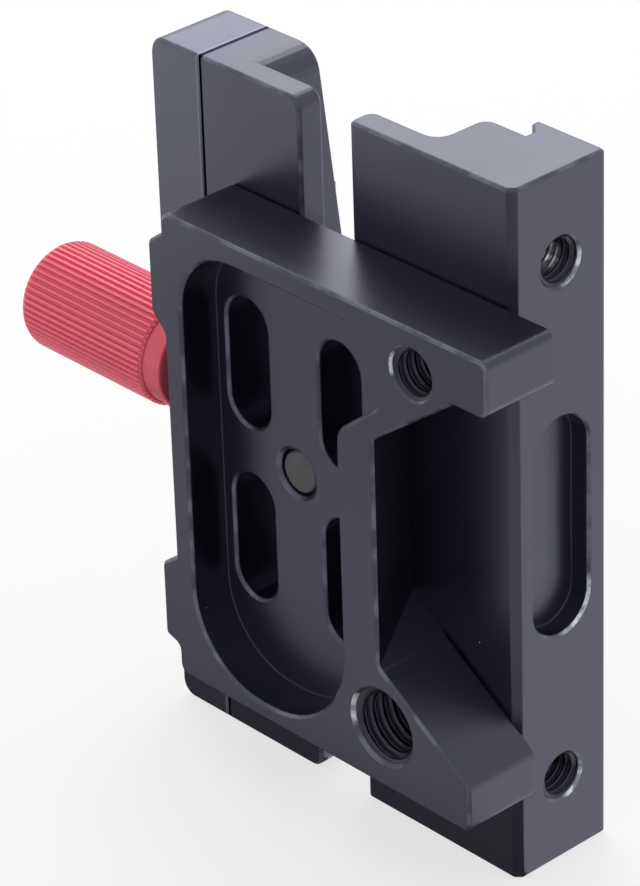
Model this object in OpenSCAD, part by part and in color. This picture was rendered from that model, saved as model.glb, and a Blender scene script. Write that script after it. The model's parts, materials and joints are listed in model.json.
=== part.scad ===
// Quick release clamp with a slotted front plate, standing on the lower ends of its blocks.
// X runs across the clamp from the knob to the accessory face, Y from front to back, Z up.
// Datum: X = 0 is the accessory face, Y = 0 is the joint between plate and body, Z = 0 the lower ends.

/* [Clamp body] */
// Height of the blocks along the dovetail
block_h = 91; // [80:1:110]
// Depth of the accessory block from the joint plane to its back
block_d = 14.8; // [14:0.1:17]
// Depth of the dovetail channel's floor behind the joint plane
floor_d = 11.2; // [10.5:0.1:12]
// Thickness of the two flanges behind the front plate
flange_t = 3.7; // [3:0.1:4.5]
// Width of the accessory block without its flange
rib_w = 15.2; // [14:0.1:18]
// Reach of the accessory block's flange from the accessory face
flange_reach = 25.8; // [24:0.1:28]
// Width of the fixed lip at the foot of its undercut
lip_w = 8.9; // [8:0.1:10]
// Sloping overhang of the dovetail lips
lip_over = 1.6; // [1.2:0.1:2]
// Distance from the accessory face to the seam of the moving jaw
seam_x = 50.9; // [50:0.1:56]
// Width of the knob-side block at its flange
inner_w = 16.9; // [16:0.1:18]
// Bevel of the accessory block's front corner
corner_bevel = 0.9; // [0.5:0.1:1.2]
// Small bevel on machined edges
edge = 0.35; // [0.2:0.05:0.5]
// Lower edge of the web that joins the two blocks
web_z0 = 20; // [17:0.5:23]
// Upper edge of the web that joins the two blocks
web_z1 = 66.5; // [66:0.5:68]

/* [Knob side slab] */
// Width of the slab at its upper and lower ends
slab_end_w = 8.3; // [7.5:0.1:9]
// Width that the slab gains from its ends to its middle
slab_flare = 6.6; // [5:0.1:7.5]
// Corner radius at the slab's ends
slab_r = 3.3; // [2:0.1:4]

/* [Accessory face] */
// Nominal diameter of the two side threads
side_thread_d = 6; // [5:0.5:6]
// Distance of the side threads from the block's ends
side_thread_z = 11.4; // [9:0.1:14]
// Depth position of the side threads and the oval recess
side_y = 7.5; // [7:0.1:8]
// Length of the oval recess
oval_l = 28.6; // [20:0.2:32]
// Width of the oval recess
oval_w = 8.9; // [7:0.1:10]
// Depth of the oval recess
oval_deep = 2.8; // [1:0.1:4]

/* [Front plate] */
// Thickness of the front plate
plate_t = 10.9; // [9.5:0.1:12]
// Distance from the accessory face to the plate's left edge
plate_left = 46.7; // [46:0.1:48]
// Distance that the two steps stand out of the left edge
step_out = 2.4; // [1.5:0.1:2.6]
// Widening of the plate's left edge from step to step
edge_lean = 0.2; // [0.1:0.1:0.4]
// Overhang of the upper arm past the accessory face
upper_reach = 6.6; // [4:0.1:9]
// Overhang of the lower arm past the accessory face
lower_reach = 3; // [2:0.1:5]
// Lower edge of the plate
plate_z0 = 13.5; // [12:0.1:14.5]
// Upper edge of the plate
plate_z1 = 76.4; // [76:0.1:79]
// Depth of the big pocket
pocket_deep = 5.6; // [4:0.1:6]
// Rim between the pocket and the plate's left edge
rim_left = 3.1; // [2.5:0.1:3.4]
// Rim between the pocket and the plate's upper edge
rim_top = 2.9; // [2.5:0.1:3.5]
// Width of the bar between the pocket and the side opening
bar_w = 6; // [5.5:0.1:7]
// Distance from the accessory face to the side opening's back wall
opening_x = 11.7; // [11:0.1:12]
// Distance that the opening's back wall leans back towards the joint plane
wall_lean = 5.2; // [3:0.1:5.6]
// Width of the four slots
slot_w = 6.9; // [5:0.1:7.2]
// Length of the four slots
slot_l = 17; // [14:0.1:17.6]
// Distance of the slots' axes from the plate's centre screw
slot_x = 7.8; // [7.6:0.1:8]
// Distance of the slots' middles above and below the centre screw
slot_z = 11.8; // [11:0.1:12.2]
// Distance from the accessory face to the centre screw
centre_x = 30.7; // [30.2:0.1:31]
// Small tripod thread, nominal diameter
small_thread_d = 6.35; // [6.35]
// Large tripod thread, nominal diameter
large_thread_d = 9.525; // [9.525]

/* [Moving jaw] */
// Thickness of the jaw block
jaw_t = 8.6; // [8:0.1:10]
// Corner radius of the jaw's outer ends
jaw_r = 2.2; // [1:0.1:3]
// Half length of the jaw's lip
lip_half = 26.5; // [20:0.5:27.5]
// Width of the dovetail channel between the lips with the jaw closed
channel_w = 37; // [36:0.1:37.8]
// Travel of the jaw
travel = 6; // [4:0.5:6.5]

/* [Knob and screw] */
// Diameter of the knob over its ridges
knob_d = 14.2; // [12:0.1:16]
// Length of the knob
knob_l = 25.2; // [20:0.2:28]
// Length of the smooth collar at the jaw
collar_l = 2.3; // [1.5:0.1:4]
// Number of ridges around the knob
ridges = 54; // [40:2:60]
// Depth of the grooves between the ridges
groove = 0.35; // [0.2:0.05:0.4]
// Depth position of the screw and the guide pins
screw_y = 5.3; // [5:0.1:5.8]
// Diameter of the clamp screw
screw_d = 5; // [4:0.5:5]
// Depth of the clamp screw's end behind the knob's face
screw_in = 5.5; // [4:0.1:8]
// Thickness of the thrust washer
washer_t = 0.8; // [0.5:0.1:1]
// Diameter of the thrust washer
washer_d = 12; // [11:0.5:12.5]
// Outer diameter of the threaded bush in the body
bush_d = 8; // [7.5:0.5:8.5]
// Length of the threaded bush
bush_l = 8; // [6:0.5:9]
// Thickness of the retaining clip
clip_t = 0.8; // [0.6:0.1:0.9]
// Outer diameter of the retaining clip
clip_d = 9; // [8:0.5:9.5]

/* [Pins and springs] */
// Diameter of the two guide pins
pin_d = 4; // [3:0.5:4]
// Length of the guide pins that stays in the body with the jaw open
pin_hold = 6.6; // [5.5:0.1:7]
// Depth of the guide pins in the jaw
pin_seat = 6.4; // [5.5:0.1:6.6]
// Distance of the guide pins above and below the screw
pin_z = 18; // [15:0.5:18.5]
// Outer diameter of the return springs
spring_d = 6.4; // [6:0.1:6.6]
// Wire diameter of the return springs
wire_d = 0.6; // [0.4:0.1:0.7]
// Length of the return springs with the jaw closed
spring_l = 8; // [7:0.5:9]
// Number of turns in each return spring
turns = 6; // [4:1:8]
// Diameter of the dowels between plate and body
dowel_d = 4; // [3:0.5:4]
// Length of those dowels
dowel_l = 10; // [8:0.5:10]
// Distance of the dowels above and below the centre screw
dowel_z = 16; // [12:0.5:17]
// Diameter of the centre screw
centre_d = 6; // [5:0.5:6]

/* [Clearances] */
// Radial gap of parts that turn or slide
run_gap = 0.04; // [0.02:0.01:0.08]
// Radial gap of parts that are pressed or screwed in
seat_gap = 0.02; // [0.01:0.01:0.03]
// Gap under the jaw's lip
lip_gap = 0.1; // [0.05:0.05:0.3]

/* [Hidden] */
mid_z = block_h / 2;
knob_x = seam_x + jaw_t + washer_t;
knob_end = knob_x + knob_l;
origin_x = (upper_reach - knob_end) / 2;
origin_y = (block_d - plate_t) / 2;
lip_rise = 1;
jaw_lip_foot = lip_w + channel_w;
inner_end = seam_x - inner_w;
pocket_x1 = opening_x + bar_w;
pocket_floor = plate_t - pocket_deep;
bush_sink = 0.3;
screw_end = knob_end - screw_in;
screw_tip = seam_x - bush_sink - bush_l - travel;
pin_l = pin_seat + travel + pin_hold;
head_d = 11.6;
head_t = 2.9;
head_sink = 0.3;
tip_sink = 0.5;
clip_groove = 0.5;
clip_seat = 0.4;
spare = 1;
lap = 0.05;
fine = 64;

// Outline helpers: a corner is [x, y, radius], an outline runs anticlockwise.
function flat(p) = [p[0], p[1]];
function unit(v) = v / norm(v);
function cross_z(a, b) = a[0] * b[1] - a[1] * b[0];
function turned(v, a) = [v[0] * cos(a) - v[1] * sin(a), v[0] * sin(a) + v[1] * cos(a)];
function steps_of(sweep, r) = ceil(abs(sweep) / (r < 1 ? 22.5 : r < 4 ? 15 : 7.5));
function corner(p, q, s) =
    let (a = unit(flat(p) - flat(q)))
    let (b = unit(flat(s) - flat(q)))
    let (half = acos(a * b) / 2)
    let (centre = flat(q) + unit(a + b) * q[2] / sin(half))
    let (first = flat(q) + a * q[2] / tan(half) - centre)
    let (sweep = (180 - 2 * half) * (cross_z(a, b) < 0 ? 1 : -1))
    let (n = steps_of(sweep, q[2]))
    q[2] == 0 ? [flat(q)] : [for (i = [0:n]) centre + turned(first, sweep * i / n)];
function rounded(c) =
    let (n = len(c))
    [for (i = [0:n - 1]) each corner(c[(i + n - 1) % n], c[i], c[(i + 1) % n])];
function normal(a, b) = let (d = unit(b - a)) [-d[1], d[0]];
function inset(path, by) =
    let (n = len(path))
    [for (i = [0:n - 1])
        let (n0 = normal(path[(i + n - 1) % n], path[i]))
        let (n1 = normal(path[i], path[(i + 1) % n]))
        path[i] + (n0 + n1) * by / (1 + n0 * n1)];

// Rings of [height, outline] joined into one solid.
module stack(rings) {
    n = len(rings[0][1]);
    top = (len(rings) - 1) * n;
    points = [for (r = rings) for (p = r[1]) [p[0], p[1], r[0]]];
    sides = [for (k = [0:len(rings) - 2]) for (i = [0:n - 1])
        [k * n + i, (k + 1) * n + i, (k + 1) * n + (i + 1) % n, k * n + (i + 1) % n]];
    bottom_face = [[for (i = [0:n - 1]) i]];
    top_face = [[for (i = [n - 1:-1:0]) top + i]];
    polyhedron(points, concat(bottom_face, sides, top_face));
}

// Extrusion whose two ends have a small bevel.
module bevelled(path, h, bevel) {
    stack([[0, inset(path, bevel)], [bevel, path], [h - bevel, path], [h, inset(path, bevel)]]);
}

// Cutter with its mouth at height 0, flared there by a small bevel.
module flared(path, deep, bevel) {
    wide = inset(path, -bevel);
    stack([[-deep, path], [-bevel, path], [0, wide], [spare, wide]]);
}

// Ring of triangular section that trims the edge of an extruded outline at height z.
// The side is 1 for the outline's own edge and -1 for a hole's, up is 1 at an upper end and -1 at a lower one.
module edge_ring(path, z, side, up) {
    n = len(path);
    wide = inset(path, side * (edge + lap));
    tight = inset(path, -side * lap);
    points = concat([for (p = wide) [p[0], p[1], z + up * lap]],
        [for (p = tight) [p[0], p[1], z + up * lap]],
        [for (p = tight) [p[0], p[1], z - up * (edge + lap)]]);
    quads = [for (k = [0:2]) for (i = [0:n - 1])
        [k * n + i, k * n + (i + 1) % n, (k + 1) % 3 * n + (i + 1) % n, (k + 1) % 3 * n + i]];
    polyhedron(points, side * up < 0 ? [for (q = quads) [q[3], q[2], q[1], q[0]]] : quads);
}

// Extrusion of any outline, with both ends bevelled.
module trimmed(path, h) {
    difference() {
        linear_extrude(h) polygon(path);
        edge_ring(path, h, 1, 1);
        edge_ring(path, 0, 1, -1);
    }
}

// Cutter for a pocket of any outline with its mouth at height 0.
module pocket(path, deep) {
    translate([0, 0, -deep]) linear_extrude(deep + spare) polygon(path);
    edge_ring(path, 0, -1, 1);
}

// Outlines in X and Z are laid against the joint plane and grow forward.
module forward() {
    rotate([90, 0, 0]) children();
}

// Round bar along X from x0 to x1.
module bar_x(d, x0, x1, y, z) {
    translate([x0, y, z]) rotate([0, 90, 0]) cylinder(d = d, h = x1 - x0, $fn = fine);
}

// Round bar along Y from y0 to y1.
module bar_y(d, x, z, y0, y1) {
    translate([x, y1, z]) forward() cylinder(d = d, h = y1 - y0, $fn = fine);
}

// Everything is placed about the middle of the part's footprint.
module placed() {
    translate([-origin_x, -origin_y, 0]) children();
}

function oval(l, w) = rounded([[w / 2, l / 2, w / 2 - 0.01], [-w / 2, l / 2, w / 2 - 0.01],
    [-w / 2, -l / 2, w / 2 - 0.01], [w / 2, -l / 2, w / 2 - 0.01]]);

// Accessory block in plan: flange, rib, channel floor and the undercut lip.
function block_plan() = rounded([
    [-corner_bevel, 0, 0],
    [0, corner_bevel, 0],
    [0, block_d, 0.6],
    [-(lip_w + lip_over), block_d, 0],
    [-(lip_w + lip_over), floor_d + lip_rise + lip_over, 0],
    [-lip_w, floor_d + lip_rise, 0],
    [-lip_w, floor_d, 0],
    [-rib_w, floor_d, 1.8],
    [-rib_w, flange_t, 2],
    [-flange_reach, flange_t, 1.4],
    [-flange_reach, 0, 0.8]]);

// Knob-side flange seen from the front.
function inner_flange() = rounded([
    [-seam_x, 0, 0],
    [-inner_end, 0, 1.8],
    [-inner_end, block_h, 1.8],
    [-seam_x, block_h, 0]]);

// Knob-side slab seen from the front: rounded ends that flare towards the middle.
function inner_slab() = rounded([
    [-seam_x, 0, 0],
    [-seam_x + slab_end_w, 0, slab_r],
    [-seam_x + slab_end_w + slab_flare, mid_z, 0],
    [-seam_x + slab_end_w, block_h, slab_r],
    [-seam_x, block_h, 0]]);

module threaded_side(z) {
    drill_end = rib_w + spare;
    bar_x(side_thread_d, -drill_end, spare, side_y, z);
    translate([-edge, side_y, z]) rotate([0, 90, 0])
        cylinder(d1 = side_thread_d, d2 = side_thread_d + 4 * edge, h = 2 * edge, $fn = fine);
}

module body_cuts() {
    for (s = [-1, 1]) {
        threaded_side(mid_z + s * (mid_z - side_thread_z));
        bar_x(pin_d + 2 * run_gap, -seam_x - spare, -seam_x + pin_l - pin_seat + spare, screw_y, mid_z + s * pin_z);
        bar_x(spring_d + 8 * run_gap, -seam_x - spare, -seam_x + spring_l, screw_y, mid_z + s * pin_z);
        bar_y(dowel_d + 2 * seat_gap, -centre_x, mid_z + s * dowel_z, -spare, dowel_l - pocket_floor + 1.5);
    }
    translate([0, side_y, mid_z]) rotate([90, 0, 90]) flared(oval(oval_l, oval_w), oval_deep, edge);
    bar_x(bush_d + 2 * seat_gap, -seam_x - spare, -seam_x + bush_sink + bush_l, screw_y, mid_z);
    bar_x(screw_d + 10 * run_gap, -seam_x, -screw_tip + spare, screw_y, mid_z);
    bar_y(centre_d + 10 * run_gap, -centre_x, mid_z, -spare, floor_d + spare);
    translate([-centre_x, floor_d + spare, mid_z]) forward()
        cylinder(d1 = head_d + 2 * (head_sink + spare), d2 = head_d, h = head_sink + spare, $fn = fine);
    translate([-centre_x, floor_d - head_sink, mid_z]) forward()
        cylinder(d1 = head_d, d2 = head_d - 2 * head_t, h = head_t, $fn = fine);
}

module clamp_body() {
    color([0.19, 0.2, 0.23]) placed() difference() {
        union() {
            trimmed(block_plan(), block_h);
            translate([0, flange_t, 0]) forward() bevelled(inner_flange(), flange_t, edge);
            translate([0, floor_d, 0]) forward() bevelled(inner_slab(), floor_d - spare, edge);
            translate([-seam_x + slab_end_w, 0, web_z0])
                cube([seam_x - slab_end_w - flange_reach + spare, floor_d, web_z1 - web_z0]);
            translate([-flange_reach, 0, web_z0])
                cube([flange_reach - lip_w - 2 * spare, floor_d, web_z1 - web_z0]);
        }
        body_cuts();
    }
}

// Front plate seen from the front, with two steps on its left edge and the side opening.
// The left edge widens a little from its upper end to its lower end.
function left_edge(k) = -plate_left - k * edge_lean;
function plate_outline() = let (back = -opening_x) rounded([
    [left_edge(1), plate_z0, 1.5],
    [lower_reach, plate_z0, 1.2],
    [lower_reach, plate_z0 + 6.3, 1.5],
    [back, plate_z0 + 16.2, 1.5],
    [back, plate_z1 - 16.6, 1.5],
    [back + 13, plate_z1 - 7.1, 1.2],
    [upper_reach, plate_z1 - 7.1, 1.4],
    [upper_reach, plate_z1, 1.1],
    [left_edge(-1), plate_z1, 1.5],
    [left_edge(-1), plate_z1 - 2.8, 0.4],
    [left_edge(-1) - step_out, plate_z1 - 4.6, 0.8],
    [left_edge(-1) - step_out, plate_z1 - 13.8, 1.3],
    [left_edge(0), plate_z1 - 16, 1.3],
    [left_edge(0), plate_z0 + 16.4, 0.4],
    [left_edge(1) - step_out, plate_z0 + 14.6, 0.8],
    [left_edge(1) - step_out, plate_z0 + 4.6, 0.8],
    [left_edge(1), plate_z0 + 3.8, 0.9]]);

// Big pocket: wide arcs below, an ear above that reaches round the small tripod thread.
function pocket_outline() = rounded([
    [-plate_left + rim_left, plate_z0 + 2.2, 11],
    [-pocket_x1, plate_z0 + 2.2, 13],
    [-pocket_x1, plate_z1 - 17.6, 3],
    [-opening_x + 1.3, plate_z1 - 11.8, 1.6],
    [-opening_x + 1.3, plate_z1 - rim_top, 5],
    [-plate_left + rim_left, plate_z1 - rim_top, 9]]);

small_x = 5.1;
small_z = plate_z1 - 5.6;
large_x = 11.3;
large_z = plate_z0 + 8.2;

module tripod_thread(d, x, z, flare) {
    bar_y(d, -x, z, -plate_t - spare, spare);
    translate([-x, -plate_t + flare, z]) forward()
        cylinder(d1 = d, d2 = d + 2 * flare + 2 * spare, h = flare + spare, $fn = fine);
}

// Wedge that undercuts the bar, between the sloping sides of the side opening.
module leaning_wall() {
    lean_z = wall_lean * 0.74;
    intersection() {
        linear_extrude(block_h) polygon([
            [-opening_x + spare, -plate_t + edge], [-opening_x, -plate_t + edge],
            [-opening_x - wall_lean, 0], [-opening_x - wall_lean, spare],
            [-opening_x + spare, spare]]);
        translate([0, 2 * spare, 0]) forward() linear_extrude(plate_t + 2 * spare) polygon([
            [-opening_x + spare, plate_z0 + 16.2 - 0.66 * spare],
            [-opening_x + spare, plate_z1 - 16.6 + 0.74 * spare],
            [-opening_x - wall_lean, plate_z1 - 16.6 - lean_z],
            [-opening_x - wall_lean, plate_z0 + 16.2 + lean_z]]);
    }
}

module front_plate() {
    color([0.17, 0.18, 0.21]) placed() difference() {
        forward() trimmed(plate_outline(), plate_t);
        translate([0, -plate_t, 0]) forward() pocket(pocket_outline(), pocket_deep);
        for (sx = [-1, 1], sz = [-1, 1])
            translate([-centre_x + sx * slot_x, -pocket_floor, mid_z + sz * slot_z])
                forward() flared(oval(slot_l, slot_w), pocket_floor + spare, edge);
        leaning_wall();
        tripod_thread(small_thread_d, small_x, small_z, 0.3);
        tripod_thread(large_thread_d, large_x, large_z, 0.45);
        bar_y(centre_d + 2 * seat_gap, -centre_x, mid_z, -pocket_floor - spare, spare);
        translate([-centre_x, -pocket_floor + 0.5, mid_z]) forward()
            cylinder(d1 = centre_d, d2 = centre_d + 3, h = 1.5, $fn = fine);
        for (s = [-1, 1])
            bar_y(dowel_d + 2 * seat_gap, -centre_x, mid_z + s * dowel_z, 1.2 - pocket_floor, spare);
    }
}

module centre_screw() {
    tip = tip_sink - pocket_floor;
    head_y = floor_d - head_sink - 0.05;
    color([0.55, 0.55, 0.53]) placed() difference() {
        union() {
            bar_y(centre_d, -centre_x, mid_z, tip + 0.5, head_y);
            translate([-centre_x, tip + 0.5, mid_z]) forward()
                cylinder(d1 = centre_d, d2 = centre_d - 1, h = 0.5, $fn = fine);
            translate([-centre_x, head_y, mid_z]) forward()
                cylinder(d1 = head_d - 0.2, d2 = centre_d - 0.2, h = head_t - 0.1, $fn = fine);
        }
        translate([-centre_x, head_y + spare, mid_z]) forward()
            cylinder(d = 4.6, h = 2.2 + spare, $fn = 6);
    }
}

module plate_dowel(s) {
    y0 = 1.3 - pocket_floor;
    color([0.7, 0.7, 0.72]) placed()
        bar_y(dowel_d, -centre_x, mid_z + s * dowel_z, y0, y0 + dowel_l);
}

// Moving jaw in plan at the height of its lip.
function lip_plan() = rounded([
    [-seam_x - jaw_t, floor_d - spare, 0],
    [-seam_x, floor_d - spare, 0],
    [-seam_x, floor_d + lip_gap, 0],
    [-jaw_lip_foot, floor_d + lip_gap, 0],
    [-jaw_lip_foot, floor_d + lip_rise, 0],
    [-jaw_lip_foot + lip_over, floor_d + lip_rise + lip_over, 0],
    [-jaw_lip_foot + lip_over, block_d, 0],
    [-seam_x - jaw_t, block_d, 1.5]]);

function jaw_front() = rounded([
    [-seam_x - jaw_t, 0, jaw_r],
    [-seam_x, 0, 0],
    [-seam_x, block_h, 0],
    [-seam_x - jaw_t, block_h, jaw_r]]);

module moving_jaw() {
    color([0.19, 0.2, 0.23]) placed() difference() {
        union() {
            translate([0, floor_d, 0]) forward() bevelled(jaw_front(), floor_d, edge);
            translate([0, 0, mid_z - lip_half]) trimmed(lip_plan(), 2 * lip_half);
        }
        bar_x(screw_d + 2 * run_gap, -knob_x - spare, -seam_x + spare, screw_y, mid_z);
        bar_x(clip_d + 0.6, -seam_x - clip_t - clip_seat - 0.1, -seam_x + spare, screw_y, mid_z);
        for (s = [-1, 1])
            bar_x(pin_d + 2 * seat_gap, -seam_x - pin_seat, -seam_x + spare, screw_y, mid_z + s * pin_z);
    }
}

module guide_pin(s) {
    x0 = -seam_x - pin_seat + 0.1;
    color([0.75, 0.75, 0.77]) placed()
        bar_x(pin_d, x0, x0 + pin_l, screw_y, mid_z + s * pin_z);
}

// Helical spring round a guide pin, swept ring by ring along its wire.
module return_spring(s) {
    steps = 16;
    wire_sides = 6;
    coil_r = (spring_d - wire_d) / 2;
    run = spring_l - wire_d - 0.2;
    n = turns * steps;
    rings = [for (i = [0:n]) let (a = 360 * i / steps) let (x = -seam_x + wire_d / 2 + 0.1 + run * i / n)
        [for (k = [0:wire_sides - 1]) let (b = 360 * k / wire_sides)
            let (r = coil_r + wire_d / 2 * cos(b))
            [x + wire_d / 2 * sin(b), screw_y + r * cos(a), mid_z + s * pin_z + r * sin(a)]]];
    sides = [for (i = [0:n - 1]) for (k = [0:wire_sides - 1]) let (j = (k + 1) % wire_sides)
        [i * wire_sides + k, i * wire_sides + j, (i + 1) * wire_sides + j, (i + 1) * wire_sides + k]];
    first_face = [[for (k = [wire_sides - 1:-1:0]) k]];
    last_face = [[for (k = [0:wire_sides - 1]) n * wire_sides + k]];
    color([0.6, 0.6, 0.62]) placed()
        polyhedron([for (r = rings) each r], concat(first_face, sides, last_face));
}

module thread_bush() {
    color([0.7, 0.6, 0.35]) placed() difference() {
        bar_x(bush_d, -seam_x + bush_sink, -seam_x + bush_sink + bush_l - 0.1, screw_y, mid_z);
        bar_x(screw_d + 2 * run_gap, -seam_x - spare, -seam_x + bush_l + spare, screw_y, mid_z);
    }
}

module thrust_washer() {
    color([0.7, 0.6, 0.35]) placed() difference() {
        bar_x(washer_d, -knob_x, -seam_x - jaw_t, screw_y, mid_z);
        bar_x(screw_d + 0.4, -knob_x - spare, -seam_x, screw_y, mid_z);
    }
}

module clamp_screw() {
    clip_x = -seam_x - clip_seat - clip_t;
    color([0.62, 0.62, 0.64]) placed() difference() {
        union() {
            bar_x(screw_d, -screw_end, -screw_tip - 0.6, screw_y, mid_z);
            translate([-screw_tip - 0.6, screw_y, mid_z]) rotate([0, 90, 0])
                cylinder(d1 = screw_d, d2 = screw_d - 1.2, h = 0.6, $fn = fine);
        }
        difference() {
            bar_x(screw_d + spare, clip_x - 0.05, clip_x + clip_t + 0.05, screw_y, mid_z);
            bar_x(screw_d - 2 * clip_groove, clip_x - spare, clip_x + 2 * spare, screw_y, mid_z);
        }
    }
}

// Open ring that snaps into the screw's groove from one side.
module retaining_clip() {
    clip_x = -seam_x - clip_seat - clip_t;
    slit = screw_d - 2 * clip_groove - 0.8;
    color([0.5, 0.5, 0.5]) placed() difference() {
        bar_x(clip_d, clip_x, clip_x + clip_t, screw_y, mid_z);
        bar_x(screw_d - 2 * clip_groove + 2 * seat_gap, clip_x - spare, clip_x + 2 * spare, screw_y, mid_z);
        translate([clip_x - spare, screw_y - slit / 2, mid_z - clip_d])
            cube([clip_t + 2 * spare, slit, clip_d]);
    }
}

// Straight ridges round the knob's grip.
function ridge_plan(r) = [for (i = [0:ridges - 1]) for (k = [0:3])
    let (a = 360 * (i + [0, 0.32, 0.5, 0.82][k]) / ridges)
    let (q = k < 2 ? r : r - groove)
    [q * cos(a), q * sin(a)]];

module knob() {
    r = knob_d / 2;
    grub_x = -knob_x - 7;
    color([0.8, 0.22, 0.3]) placed() difference() {
        translate([-knob_end, screw_y, mid_z]) rotate([0, 90, 0]) union() {
            intersection() {
                translate([0, 0, 0.05]) linear_extrude(knob_l - collar_l) polygon(ridge_plan(r));
                rotate_extrude($fn = fine) polygon(concat([[0, 0], [r - 1.5, 0]],
                    [for (a = [15:15:75]) [r - 1.5 + 1.5 * sin(a), 1.5 - 1.5 * cos(a)]],
                    [[r + 0.05, 1.5], [r + 0.05, knob_l - collar_l - 0.4], [r - 0.4, knob_l - collar_l],
                    [0, knob_l - collar_l]]));
            }
            translate([0, 0, knob_l - collar_l - 0.5])
                cylinder(r1 = r - groove - 0.1, r2 = r - 0.9, h = collar_l + 0.5, $fn = fine);
        }
        bar_x(screw_d + 2 * seat_gap, -screw_end - 0.2, -knob_x + spare, screw_y, mid_z);
        translate([grub_x, screw_y, mid_z + screw_d / 2]) cylinder(d = 3.04, h = knob_d, $fn = fine);
    }
}

module knob_grub_screw() {
    grub_l = 3.8;
    z0 = mid_z + screw_d / 2 + seat_gap;
    color([0.3, 0.3, 0.3]) placed() translate([-knob_x - 7, screw_y, z0]) difference() {
        cylinder(d = 3, h = grub_l, $fn = fine);
        translate([0, 0, grub_l - 1.5]) cylinder(d = 1.7, h = 2, $fn = 6);
    }
}

clamp_body();
front_plate();
centre_screw();
plate_dowel(1);  // plate_dowel_upper
plate_dowel(-1);  // plate_dowel_lower
moving_jaw();
guide_pin(1);  // guide_pin_upper
guide_pin(-1);  // guide_pin_lower
return_spring(1);  // return_spring_upper
return_spring(-1);  // return_spring_lower
thread_bush();
thrust_washer();
clamp_screw();
retaining_clip();
knob();
knob_grub_screw();
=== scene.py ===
"""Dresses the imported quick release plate: finishes, threads, springs and the studio."""
import json
import math

import bpy
from bpy.props import FloatProperty, FloatVectorProperty, IntProperty, PointerProperty
from mathutils import Matrix, Vector


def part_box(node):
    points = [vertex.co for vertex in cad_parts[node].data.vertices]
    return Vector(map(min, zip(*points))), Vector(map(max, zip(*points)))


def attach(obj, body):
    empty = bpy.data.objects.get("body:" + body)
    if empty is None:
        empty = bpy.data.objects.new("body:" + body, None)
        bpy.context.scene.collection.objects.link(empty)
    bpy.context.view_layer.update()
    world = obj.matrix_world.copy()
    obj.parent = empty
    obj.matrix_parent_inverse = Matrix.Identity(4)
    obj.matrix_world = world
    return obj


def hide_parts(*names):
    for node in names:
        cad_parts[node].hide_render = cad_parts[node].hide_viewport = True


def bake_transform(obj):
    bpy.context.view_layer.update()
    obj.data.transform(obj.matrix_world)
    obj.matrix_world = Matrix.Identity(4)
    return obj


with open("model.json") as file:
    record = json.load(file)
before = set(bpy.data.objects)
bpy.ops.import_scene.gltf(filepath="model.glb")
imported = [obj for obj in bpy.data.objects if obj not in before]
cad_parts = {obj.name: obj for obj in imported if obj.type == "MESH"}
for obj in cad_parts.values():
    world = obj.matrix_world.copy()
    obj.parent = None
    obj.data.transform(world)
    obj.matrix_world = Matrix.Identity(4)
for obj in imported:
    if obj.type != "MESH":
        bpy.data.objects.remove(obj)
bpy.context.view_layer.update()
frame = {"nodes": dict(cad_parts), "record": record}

bl_info = {
    "name": "Quick release plate",
    "version": (1, 0, 0),
    "blender": (4, 5, 0),
    "location": "View3D > Sidebar > Quick release",
    "description": "Finishes, threads and springs of a dovetail clamp with a slotted front plate",
    "category": "Object",
}

MM = 0.001
FULL_TURN = 2 * math.pi
MOUNTS = {m["name"]: m for m in frame["record"]["mounts"]}
SEAM_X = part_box("clamp_body")[0].x
SPRING_BOXES = {end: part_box("return_spring_" + end) for end in ("upper", "lower")}
SCREW_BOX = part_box("clamp_screw")
CLIP_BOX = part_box("retaining_clip")
BUSH_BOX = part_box("thread_bush")


class ThreadSettings(bpy.types.PropertyGroup):
    small_pitch: FloatProperty(
        name="Small tripod pitch", description="Pitch of the small tripod thread, 20 to the inch",
        default=1.27 * MM, unit="LENGTH")
    large_pitch: FloatProperty(
        name="Large tripod pitch", description="Pitch of the large tripod thread, 16 to the inch",
        default=1.5875 * MM, unit="LENGTH")
    side_pitch: FloatProperty(
        name="Side pitch", description="Pitch of the two side threads",
        default=1.0 * MM, unit="LENGTH")
    screw_pitch: FloatProperty(
        name="Screw pitch", description="Pitch of the clamp screw",
        default=0.8 * MM, unit="LENGTH")
    steps: IntProperty(
        name="Steps", description="Rows of faces in each turn of a thread", default=10, min=6, max=24)
    sides: IntProperty(
        name="Sides", description="Faces round a thread", default=48, min=24, max=96)


class SpringSettings(bpy.types.PropertyGroup):
    wire: FloatProperty(
        name="Wire", description="Wire diameter of the return springs", default=0.6 * MM, unit="LENGTH")
    turns: FloatProperty(
        name="Turns", description="Number of turns in a return spring", default=6.0, min=2.0, max=12.0)
    wire_sides: IntProperty(
        name="Wire sides", description="Faces round the wire", default=12, min=6, max=24)
    turn_steps: IntProperty(
        name="Turn steps", description="Rings along one turn of the wire", default=40, min=16, max=64)


class KnobSettings(bpy.types.PropertyGroup):
    ridges: IntProperty(
        name="Ridges", description="Number of ridges round the grip", default=54, min=20, max=90)
    groove: FloatProperty(
        name="Groove", description="Depth of the grooves between the ridges", default=0.35 * MM, unit="LENGTH")
    skirt_wall: FloatProperty(
        name="Skirt wall", description="Wall of the collar's skirt round the thrust washer",
        default=0.4 * MM, unit="LENGTH")
    skirt_gap: FloatProperty(
        name="Skirt gap", description="Gap between the skirt and what it turns beside",
        default=0.1 * MM, unit="LENGTH")
    plug_steps: IntProperty(
        name="Plug steps", description="Strips across the plug over the grub screw", default=60, min=12, max=120)


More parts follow.
